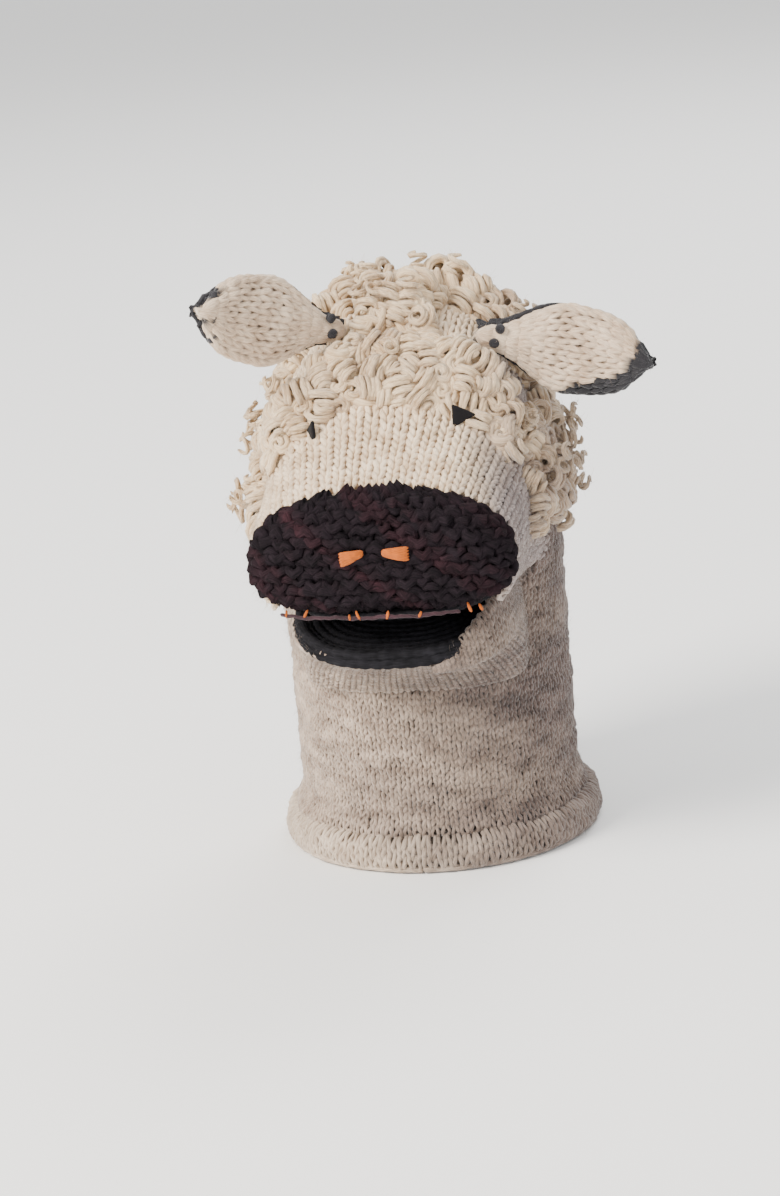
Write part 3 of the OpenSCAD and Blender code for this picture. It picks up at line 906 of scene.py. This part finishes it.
seam = Strands()
seam_x = np.linspace(-41, 30, 90)
seam_y = np.interp(np.abs(seam_x), [0, 20, 34, 39, 45], [-110.2, -108.8, -104.8, -102.4, -97.5])
seam_line = np.stack([seam_x, seam_y, 121.3 + wobble(seam_x * 0.3, 111, 0.5)], 1) * MM
seam.thread(seam_line, np.broadcast_to([0, -1, -0.2], seam_line.shape),
            0.85 * MM * (1 + wobble(seam_x * 0.4, 112, 0.2)))
seam_piece = seam.build("lip_thread", lip_yarn)
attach(seam_piece, "head")

# %% [markdown]
# ## Inside the mouth
#
# The lining is black garter stitch: ridges of bumps that follow the outline of the mouth. The roof
# belongs to the head and the floor to the jaw. A thick rolled edge finishes the jaw.


# %% Mouth lining
JAW_REST = math.radians(12)
hinge_y, hinge_z = mouth_line[1], mouth_line[2]


def mouth_outline(half, back_y, front_y, straight, count=160):
    """The outline of a lining: straight sides from the back, then a blunt round front."""
    a = np.radians(np.linspace(0, 180, count))
    x = half * np.sign(np.cos(a)) * np.abs(np.cos(a)) ** 0.75
    y = back_y - straight - (back_y - straight - front_y) * np.sin(a) ** 0.9
    line = np.stack([x, y, 0 * x], 1)
    return np.concatenate([[[half, back_y, 0]], line, [[-half, back_y, 0]]])


def in_jaw(line):
    """Points from the jaw's own level, where y counts from the hinge, to the puppet at rest."""
    y, z = line[:, 1], line[:, 2]
    c, s = math.cos(JAW_REST), math.sin(JAW_REST)
    return np.stack([line[:, 0], hinge_y + y * c - z * s, hinge_z + y * s + z * c], 1)


def ridges(strands, outline, normal, rings, thick, seed, sag=0.0):
    """Nested ridges of bumps that shrink towards the back of the mouth."""
    centre = np.array([0, outline[0][1], 0])
    for k in range(rings):
        scale = 1 - k / rings
        line = centre + (outline - centre) * scale
        line[:, 2] -= sag * (1 - scale**2)
        length = np.linalg.norm(np.diff(line, axis=0), axis=1).sum()
        line = resample(line, max(12, int(length / (0.8 * MM))))
        run = np.linspace(0, length / (3.6 * MM), len(line)) * np.pi
        puff = thick * (1 + 0.28 * np.abs(np.sin(run + k * 1.2)) + wobble(run, seed + k, 0.06))
        strands.thread(line, np.broadcast_to(normal, line.shape), puff)


roof = Strands()
roof_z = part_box("mouth_roof")[0].z
roof_outline = mouth_outline(0.0405, hinge_y - 0.004, -0.1055, 0.014)
ridges(roof, roof_outline, (0, 0, -1), 15, 1.35 * MM, 120)
roof_knit = roof.build("mouth_roof_knit", black_wool)
roof_knit.location.z = roof_z + 1.6 * MM
bpy.context.view_layer.update()
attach(roof_knit, "head")
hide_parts("mouth_roof")

jaw_floor = Strands()
floor_outline = mouth_outline(0.0385, -0.006, -0.0585, 0.012)
ridges(jaw_floor, floor_outline, (0, 0, 1), 13, 1.5 * MM, 140, sag=0.5 * MM)
for number, (rings, run, tint) in enumerate(jaw_floor.threads):
    turned = in_jaw(rings.reshape(-1, 3)).reshape(rings.shape)
    jaw_floor.threads[number] = (turned, run, tint)
floor_knit = jaw_floor.build("jaw_lining_knit", black_wool)
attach(floor_knit, "jaw")
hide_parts("jaw_lining")

rolled = Strands(sides=8)
for number, (half, tip, height, thick) in enumerate([(41.0, -61.8, 1.4, 2.1), (42.2, -63.2, -1.2, 2.0)]):
    line = mouth_outline(half * MM, -0.008, tip * MM, 0.010)
    line[:, 2] += (height - 1.6 * (1 - (line[:, 0] / (half * MM)) ** 2)) * MM
    line = resample(line, 260)
    run = np.linspace(0, 150 / 4.4, 260) * np.pi
    puff = thick * MM * (1 + 0.2 * np.abs(np.sin(run + number)) + wobble(run, 160 + number, 0.08))
    rolled.thread(in_jaw(line), np.broadcast_to([0, 0, 1], line.shape), puff)
lip_roll = rolled.build("jaw_lip_roll", black_wool)
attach(lip_roll, "jaw")
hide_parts("jaw_lip")

# %% [markdown]
# ## The pushed-up corner of the jaw
#
# On the right the knitting of the jaw stands up past its black lining and hides one end of it.
# A short strip follows the rim from the hinge to the front, highest at the corner.


# %% Corner of the jaw
CUFF_COLUMNS, CUFF_ROWS = 17, 5
cuff_line = mouth_outline(0.0445, -0.014, -0.0655, 0.008)
cuff_line = resample(cuff_line[: int(len(cuff_line) * 0.42)], CUFF_COLUMNS + 1)
cuff_heights = [3.0, 10.5, 8.0, 2.0, -5.5]
cuff_top = np.interp(np.linspace(0, 4, CUFF_COLUMNS + 1), range(5), cuff_heights) * MM
cuff_grid = []
for height in np.linspace(0, 1, CUFF_ROWS + 1):
    line = cuff_line.copy()
    line[:, 2] += -6.5 * MM + (cuff_top + 6.5 * MM) * height
    line[:, :2] *= 1 - 0.06 * height**2
    cuff_grid.append(in_jaw(line))
cuff_grid = np.array(cuff_grid)
cuff_normal = normals_of(cuff_grid, np.array([0, -0.07, 0.11]))
cuff_strands = Strands()
knit(cuff_strands, cuff_grid, cuff_normal, range(CUFF_ROWS + 1), 0.98 * MM, 171,
     tint=skein_and_shade_tint, hairs=7.0)
backing(cuff_strands, cuff_grid, cuff_normal, tint=skein_and_shade_tint, under=1.0 * MM)
cuff_knit = cuff_strands.build("jaw_corner_knit", heather_wool)
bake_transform(cuff_knit)

# %% [markdown]
# ## Ears
#
# Each ear is two knitted leaves sewn together: cream in front, charcoal behind, with about seven
# columns of 5 mm stitches running out to the tip. The charcoal shows where the leaves do not quite
# cover each other: in specks round the tip of the left ear, and in a wedge under the right one's.


# %% Ears
ear_wool = yarn_material("ear_wool", "#e4cfb6", "#a88d73", other=("#302f33", "#161518"),
                         slot="cream_wool")
EAR_COLUMNS, EAR_ROWS = 7, 12
EAR_LENGTH, EAR_HALF_WIDTH = 64 * MM, 18 * MM


def ear_leaf(node, origin, along, across, out):
    """The outer skin of one leaf as a grid: rows from the base to the tip, columns across."""
    tree = shell(node)
    grid = []
    for u in np.linspace(0.02, 0.975, EAR_ROWS + 1):
        hits = []
        for v in np.linspace(-0.024, 0.024, 97):
            start = origin + along * EAR_LENGTH * u + across * v
            hit = skin(tree, start, out)
            if hit is not None:
                hits.append(hit)
        grid.append(resample(hits, EAR_COLUMNS + 1))
    return np.array(grid)


def ear(side):
    """Both leaves, the bound edge and the knots of one ear."""
    joint = joints["ear_" + side + "_flop"]
    origin = np.array(joint["pos_m"])
    face_node, back_node = "ear_" + side + "_face", "ear_" + side + "_back"
    face = cad_node(face_node)
    points = np.array([face.matrix_world @ v.co for v in face.data.vertices])
    axis = np.array(joint["axis"]) * (-1 if joint["axis"][1] > 0 else 1)
    tip = points[np.argmax(np.linalg.norm(points - origin, axis=1))] - origin
    along = unit(tip - axis * (tip @ axis))
    across = np.cross(axis, along) * (1 if side == "left" else -1)
    across = across * (1 if across[2] > 0 else -1)

    def face_tint(line):
        """Charcoal along the lower edge near the tip of the right ear."""
        local = (line - origin) @ np.stack([along, across], 1)
        u, v = local[..., 0] / EAR_LENGTH, local[..., 1] / EAR_HALF_WIDTH
        if side == "left":
            specks = np.sin(u * 23 + v * 13) > 0.55
            return np.where((u + 0.25 * np.abs(v) ** 3 > 0.93) & specks, 1.0, 0.0)
        wedge = -0.9 + 1.6 * (u - 0.5) + 8 * np.clip(u - 0.88, 0, 1)
        return np.where((u > 0.5) & (v < wedge), 1.0, 0.0)

    layers = [("face", face_node, axis, face_tint), ("back", back_node, -axis, None)]
    for layer, node, out, tint in layers:
        grid = ear_leaf(node, origin, along, across, out)
        if layer == "back":
            grid = grid + (grid.mean(axis=1, keepdims=True) - grid) * 0.13
        normal = normals_of(grid, origin - out * 0.02 + along * 0.03)
        cloth = grid - normal * 1.0 * MM
        strands = Strands()
        seed = 200 + 40 * (side == "right") + 20 * (layer == "back")
        knit(strands, cloth, normal, range(EAR_ROWS + 1), 1.22 * MM, seed, tint=tint, hairs=5.0,
             depth=0.6, uneven=1.3)
        backing(strands, cloth, normal, tint=tint, under=1.2 * MM)
        rim = resample(rim_of(cloth), 301)
        way = unit(resample(rim_of(normal), 301))
        run = np.linspace(0, 160 / 5.2, 301) * np.pi
        rim_size = (1.55 if layer == "face" else 1.1) * MM
        puff = rim_size * (1 + 0.22 * np.abs(np.sin(run)) + wobble(run, seed, 0.1))
        strands.thread(rim - way * 0.5 * MM, way, puff, 0.0 if tint is None else tint(rim))
        material = ear_wool if layer == "face" else charcoal_wool
        piece = strands.build("ear_" + side + "_" + layer + "_knit", material)
        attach(piece, "ear_" + side)
        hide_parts(node)

    knots = Strands(sides=8)
    low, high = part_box("ear_" + side + "_knots")
    middle = (np.array(low) + np.array(high)) / 2
    places = [
        middle + along * -0.7 * MM - across * 3.4 * MM,
        middle + along * 0.9 * MM + across * 2.6 * MM,
    ]
    if side == "left":
        places.append(origin + along * 60 * MM + across * 7 * MM + axis * 3.4 * MM)
    for number, centre in enumerate(places):
        t = np.linspace(0, 2.2 * 2 * np.pi, 30)
        ring = 0.8 * MM * (1 + 0.3 * np.sin(t * 0.7 + number))
        line = centre + (
            np.cos(t)[:, None] * along * ring[:, None]
            + np.sin(t)[:, None] * across * ring[:, None]
            + np.sin(t * 0.5 + number)[:, None] * axis * 0.9 * MM
        )
        knots.thread(line, np.broadcast_to(axis, line.shape), 1.15 * MM)
    knot_piece = knots.build("ear_" + side + "_knots_yarn", charcoal_wool)
    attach(knot_piece, "ear_" + side)
    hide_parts("ear_" + side + "_knots")


for side in ("left", "right"):
    ear(side)

# %% [markdown]
# ## Eyes
#
# The eyes are wedges snipped from black wool felt 1.6 mm thick, standing a little off the knitting
# where the locks push them forward. Felt is a mat of fine hairs, so its edge is fuzzy and its
# surface almost without gloss. A fine noise bumps it.


# %% Felt eyes
felt = bpy.data.materials.new("black_felt")
felt.use_nodes = True
felt_shader = felt.node_tree.nodes["Principled BSDF"]
felt_place = add(felt.node_tree, "TexCoord")
felt_mat = add(felt.node_tree, "TexNoise", [("Vector", felt_place.outputs["Object"])],
               Scale=1 / (0.5 * MM), Detail=6.0, Roughness=0.7)
felt_ramp = add(felt.node_tree, "ValToRGB", [("Fac", felt_mat.outputs["Fac"])])
felt_ramp.color_ramp.elements[0].color = linear("#070607")
felt_ramp.color_ramp.elements[1].color = linear("#171518")
felt_bump = add(felt.node_tree, "Bump", [("Height", felt_mat.outputs["Fac"])], Strength=0.6,
                Distance=0.3 * MM)
felt.node_tree.links.new(felt_ramp.outputs["Color"], felt_shader.inputs["Base Color"])
felt.node_tree.links.new(felt_bump.outputs["Normal"], felt_shader.inputs["Normal"])
felt_shader.inputs["Roughness"].default_value = 0.95
felt_shader.inputs["IOR"].default_value = 1.55
felt_shader.inputs["Specular IOR Level"].default_value = 0.2
felt_shader.inputs["Sheen Weight"].default_value = 0.05


# How far each wedge has slid, in mm, and the way its point faces
EYES = {
    "right": ([0, -1.0, 1.4], [1.0, 0.25, -0.1]),
    "left": ([-0.5, -1.0, -2.2], [-0.45, 0.85, -0.25]),
}


def felt_eye(side):
    """A felt wedge: its upright edge faces the nose, and its point faces the ear."""
    node = "eye_" + side
    low, high = (np.array(c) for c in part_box(node))
    sign = 1 if side == "right" else -1
    shift, turn = EYES[side]
    centre = (low + high) / 2 + np.array(shift) * MM
    right = unit(np.array(turn))
    up_way = unit(np.array([0, -0.05, 1.0]))
    out = np.cross(right, up_way) * sign
    corners = np.array([(-4.4, -4.8), (-4.2, 4.8), (5.4, 0.6)]) * MM
    outline = []
    for k in range(3):
        a, b = corners[k], corners[(k + 1) % 3]
        for t in np.linspace(0, 1, 10)[:-1]:
            p = a * (1 - t) + b * t
            outline.append(p * (0.92 if t == 0 else 1.0))
    outline = np.array(outline)
    count = len(outline)
    rings = [(0.55, 0.8), (0.86, 0.75), (1.0, 0.35), (1.0, -0.35), (0.86, -0.75), (0.55, -0.8)]
    points = [centre + out * 0.8 * MM]
    for scale, depth in rings:
        rough_edge = 1 + wobble(np.arange(count) * 1.3, 300 + sign, 0.035) * (scale == 1.0)
        for p, r in zip(outline, rough_edge):
            flat = right * p[0] * scale * r + up_way * p[1] * scale * r
            points.append(centre + flat + out * depth * MM)
    points.append(centre - out * 0.8 * MM)
    faces = [(0, 1 + i, 1 + (i + 1) % count) for i in range(count)]
    for k in range(len(rings) - 1):
        a, b = 1 + k * count, 1 + (k + 1) * count
        faces += [(a + i, b + i, b + (i + 1) % count, a + (i + 1) % count) for i in range(count)]
    last = len(points) - 1
    base = 1 + (len(rings) - 1) * count
    faces += [(last, base + (i + 1) % count, base + i) for i in range(count)]
    mesh = bpy.data.meshes.new(node + "_felt")
    mesh.from_pydata([tuple(p) for p in points], [], faces)
    mesh.polygons.foreach_set("use_smooth", np.ones(len(mesh.polygons), bool))
    mesh.materials.append(felt)
    piece = bpy.data.objects.new(node + "_felt", mesh)
    bpy.context.scene.collection.objects.link(piece)
    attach(piece, "head")
    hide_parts(node)


for side in ("left", "right"):
    felt_eye(side)
print("eyes cut")

# %% [markdown]
# ## Curly fleece
#
# The locks are unspun, washed curls of fleece, roving 3 mm thick that kinks back on itself. Sewn on
# close together they hide the head. Each lock is a short coil of a few uneven turns, squashed
# against the head. Some lie across and some hang, some face outward as rosettes, and at the top
# a few thin ringlets stand free. The locks lie about 8 mm apart, and a second layer of plainer
# locks fills the depth of the fleece under them. Each outer lock is three thinner strands wound
# round each other, which keeps the curl of a washed fleece.


# %% Locks
PLIES = 3
SPOTS = 2600


def lock(strands, centre, normal, axis, turns, radius, length, thick, seed, tint, flat=0.95, point=0.0,
         plies=PLIES):
    """A coil of roving round an axis that lies in the surface, or nearly so."""
    rng = np.random.default_rng(seed)
    axis = unit(axis)
    side = unit(np.cross(axis, normal))
    out = np.cross(side, axis)
    count = int(turns * 12)
    t = np.linspace(0, turns * 2 * np.pi, count)
    way = np.linspace(-0.5, 0.5, count)
    size = radius * (1 + wobble(t * 0.45, seed, 0.28)) * (1 - point * (way + 0.5) ** 1.5)
    size = size * np.sqrt(np.clip(1.12 - np.abs(2 * way) ** 2.4, 0.1, 1))
    drift = wobble(t * 0.25, seed + 7, 0.22) * radius
    line = (
        centre
        + axis * (way * length + wobble(t * 0.8, seed + 3, 0.09) * radius)[:, None]
        + side * (np.cos(t) * size + drift)[:, None]
        + out * (np.sin(t) * size * flat)[:, None]
    )
    puff = thick * (1 + wobble(t * 0.6, seed + 9, 0.3)) * np.sqrt(np.clip(1.05 - (2 * way) ** 6, 0.1, 1))
    centre_line = centre + axis * (way * length)[:, None]
    away = unit(line - centre_line + out * 1e-4)
    beside = np.cross(unit(np.gradient(line, axis=0)), away)
    spread, part = (0.5, 0.62) if plies > 1 else (0.0, 1.0)
    for ply in range(plies):
        turned = 2 * np.pi * ply / plies + t * 0.55 + seed
        shift = away * np.cos(turned)[:, None] + beside * np.sin(turned)[:, None]
        strands.thread(line + shift * (puff * spread)[:, None], away, puff * part, tint)
    for at in rng.integers(1, count - 1, 24):
        way_out = unit(unit(line[at] - centre) + rng.normal(size=3) * 0.5)
        steps = np.linspace(0, 1, 4)[:, None]
        curl = unit(rng.normal(size=3)) * 2.2 * MM
        reach = way_out * (rng.uniform(2.2, 4.5) * MM)
        strands.hair(line[at] + reach * steps + curl * steps**2, 0.055 * MM, tint)


def surface_points(node, gap, seed, inside):
    """Points and outward normals over the outer side of a CAD node, at least gap apart."""
    rng = np.random.default_rng(seed)
    thing = cad_node(node)
    thing.data.calc_loop_triangles()
    places = np.array([thing.matrix_world @ v.co for v in thing.data.vertices])
    corners = np.array([places[list(t.vertices)] for t in thing.data.loop_triangles])
    normal = np.cross(corners[:, 1] - corners[:, 0], corners[:, 2] - corners[:, 0])
    area = np.linalg.norm(normal, axis=1)
    normal = normal / np.maximum(area, 1e-12)[:, None]
    facing = np.sum(normal * unit(corners.mean(1) - inside), axis=1)
    weight = np.where(facing > -0.05, area, 0)
    picked = rng.choice(len(corners), SPOTS, p=weight / weight.sum())
    mix = rng.dirichlet((1, 1, 1), SPOTS)
    spots = np.einsum("ij,ijk->ik", mix, corners[picked])
    kept = []
    for k, spot in enumerate(spots):
        if all(np.linalg.norm(spot - spots[j]) > gap for j in kept):
            kept.append(k)
    return spots[kept], normal[picked[kept]]


def fleece_tint(p):
    """Greyer towards the right and the back."""
    return float(np.clip((p[0] - 0.028) / 0.05, 0, 0.75) + np.clip((p[1] - 0.02) / 0.08, 0, 0.4))


# Gap between the locks, radius of a lock, thickness of its roving and how deep it sinks, in mm
FLEECE = {
    "fleece_fringe": (6.6, 4.4, 1.7, 0.5),
    "fleece_top": (7.8, 4.7, 1.75, 2.5),
    "fleece_crown": (9.0, 5.0, 1.85, 3.0),
    "fleece_left": (7.6, 4.0, 1.55, 4.0),
    "fleece_right": (7.6, 4.0, 1.55, 3.0),
    "fleece_nape": (9.2, 5.0, 1.85, 2.5),
}
head_middle = np.array([0, -0.01, 0.15])
ears_near = shell("ear_left_face", "ear_left_back", "ear_right_face", "ear_right_back")


def lay_locks(node, name, gap, radius, thick, sink, plies, seed):
    """Covers the outer side of a fleece pad with locks, with room left round the ears."""
    locks = Strands(sides=5)
    rng = np.random.default_rng(seed)
    spots, normals = surface_points(node, gap * MM, seed + 1, head_middle)
    for k, (spot, normal) in enumerate(zip(spots, normals)):
        across = unit(np.cross(normal, [0, 0, 1]))
        down = np.cross(across, normal)
        turn = rng.normal(0, 0.5) + (math.pi / 2 if rng.random() < 0.45 else 0)
        axis = across * math.cos(turn) + down * math.sin(turn)
        tint = fleece_tint(spot) + rng.uniform(-0.05, 0.3)
        room = min(ears_near.find_nearest(Vector(spot))[3] - 3.0 * MM, 6.5 * MM)
        if room < 3.2 * MM:
            continue
        size = min(radius * rng.uniform(0.78, 1.18) * MM, room)
        base = spot - normal * (size * rng.uniform(0.1, 0.5) + sink * MM + pressed(spot, 6.5 * MM))
        if rng.random() < 0.25:
            lock(locks, base, across, normal, rng.uniform(2.2, 3.0), size * 1.25,
                 3.6 * MM, thick * MM, 10 * seed + k, tint, flat=1.0, point=0.75, plies=plies)
        else:
            lock(locks, base, normal, axis + normal * rng.normal(0, 0.25), rng.uniform(2.9, 3.9), size,
                 size * rng.uniform(2.3, 3.1), thick * MM, 10 * seed + k, tint, plies=plies)
    piece = locks.build(name, fleece_wool)
    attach(piece, "head")
    return piece


for order, (node, (gap, radius, thick, sink)) in enumerate(FLEECE.items()):
    over = lay_locks(node, node + "_locks", gap, radius, thick, sink, PLIES, 400 + 50 * order)
    lay_locks(node, node + "_underlocks", 8.5, radius, 2.1, sink + 4.5, 1, 425 + 50 * order)
    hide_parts(node)

ringlets = Strands(sides=5)
rng = np.random.default_rng(460)
fleece_shell = shell("fleece_top", "fleece_crown", "fleece_left", "fleece_right", "fleece_fringe")
for k in range(70):
    angle = rng.uniform(-0.1, math.pi + 0.1)
    way = unit(np.array([math.cos(angle), rng.normal(0, 0.25), math.sin(angle)]))
    hit = skin(fleece_shell, head_middle, way)
    if hit is None or ears_near.find_nearest(Vector(hit))[3] < 9 * MM:
        continue
    lean = unit(way + rng.normal(size=3) * 0.35)
    lock(ringlets, hit + lean * 3.0 * MM, unit(np.array([0.2, -1, 0.1])), lean, rng.uniform(1.5, 2.4),
         rng.uniform(2.4, 3.6) * MM, rng.uniform(7, 10) * MM, 0.95 * MM, 470 + k, fleece_tint(hit),
         flat=1.0)
ringlet_piece = ringlets.build("fleece_ringlets", fleece_wool)
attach(ringlet_piece, "head")

# %% [markdown]
# ## Floor, light and camera
#
# The puppet stands on its hem on a plain pale floor. A large soft light hangs high on the left,
# weaker ones fill from the right and the front, and another brushes the locks from behind. Big
# lamps at a distance leave soft shadows, which is how wool is usually lit. The camera looks down
# a little, from a few degrees to the right of the nose, with a long lens and a slight roll.


# %% Stage
def lamp(name, place, size, power, colour="#ffffff"):
    """A square area light that faces the middle of the puppet."""
    data = bpy.data.lights.new(name, "AREA")
    data.size = size
    data.energy = power
    data.color = linear(colour)[:3]
    thing = bpy.data.objects.new(name, data)
    thing.location = place
    thing.rotation_euler = (Vector((0, 0, 0.12)) - Vector(place)).to_track_quat("-Z", "Y").to_euler()
    bpy.context.scene.collection.objects.link(thing)


floor_mat = bpy.data.materials.new("floor_paper")
floor_mat.use_nodes = True
paper = floor_mat.node_tree.nodes["Principled BSDF"]
grain = add(floor_mat.node_tree, "TexNoise", Scale=400.0, Detail=3.0)
rough = add(floor_mat.node_tree, "Bump", [("Height", grain.outputs["Fac"])], Strength=0.05,
            Distance=0.2 * MM)
floor_mat.node_tree.links.new(rough.outputs["Normal"], paper.inputs["Normal"])
paper.inputs["Base Color"].default_value = linear("#fbfbfa")
paper.inputs["Roughness"].default_value = 0.9
bpy.ops.mesh.primitive_plane_add(size=60)
floor = bpy.context.object
floor.name = "floor"
floor.data.materials.append(floor_mat)

lamp("key", (-1.5, -1.5, 1.7), 1.1, 135, "#fff8ef")
lamp("fill", (2.2, -1.8, 0.9), 1.6, 12)
lamp("rim", (0.6, 2.0, 2.2), 1.4, 50)
lamp("front", (0.2, -3.2, 0.9), 1.8, 16)

world = bpy.data.worlds.new("studio")
world.use_nodes = True
world.node_tree.nodes["Background"].inputs["Color"].default_value = linear("#ffffff")
world.node_tree.nodes["Background"].inputs["Strength"].default_value = 1.05
bpy.context.scene.world = world

AZIMUTH, ELEVATION, ROLL = (math.radians(d) for d in (10, 15, 5))
DISTANCE = 1.3
# Where the middle of the hem lies in the view, in metres from the view's own middle
RIGHT_OF_MIDDLE, BELOW_MIDDLE = 0.0230, 0.0887
back = Vector((math.sin(AZIMUTH) * math.cos(ELEVATION), -math.cos(AZIMUTH) * math.cos(ELEVATION),
               math.sin(ELEVATION)))
lens_data = bpy.data.cameras.new("camera")
lens_data.lens = 92
camera = bpy.data.objects.new("camera", lens_data)
camera.rotation_euler = (back.to_track_quat("Z", "Y").to_matrix().to_4x4()
                         @ Matrix.Rotation(-ROLL, 4, "Z")).to_euler()
bpy.context.scene.collection.objects.link(camera)
bpy.context.view_layer.update()
turned = camera.matrix_world.to_3x3()
hem_middle = Vector((0, 0, 0.006))
aim = hem_middle - turned.col[0] * RIGHT_OF_MIDDLE + turned.col[1] * BELOW_MIDDLE
camera.location = aim + back * DISTANCE
bpy.context.scene.camera = camera
print("camera at", [round(x, 3) for x in camera.location])
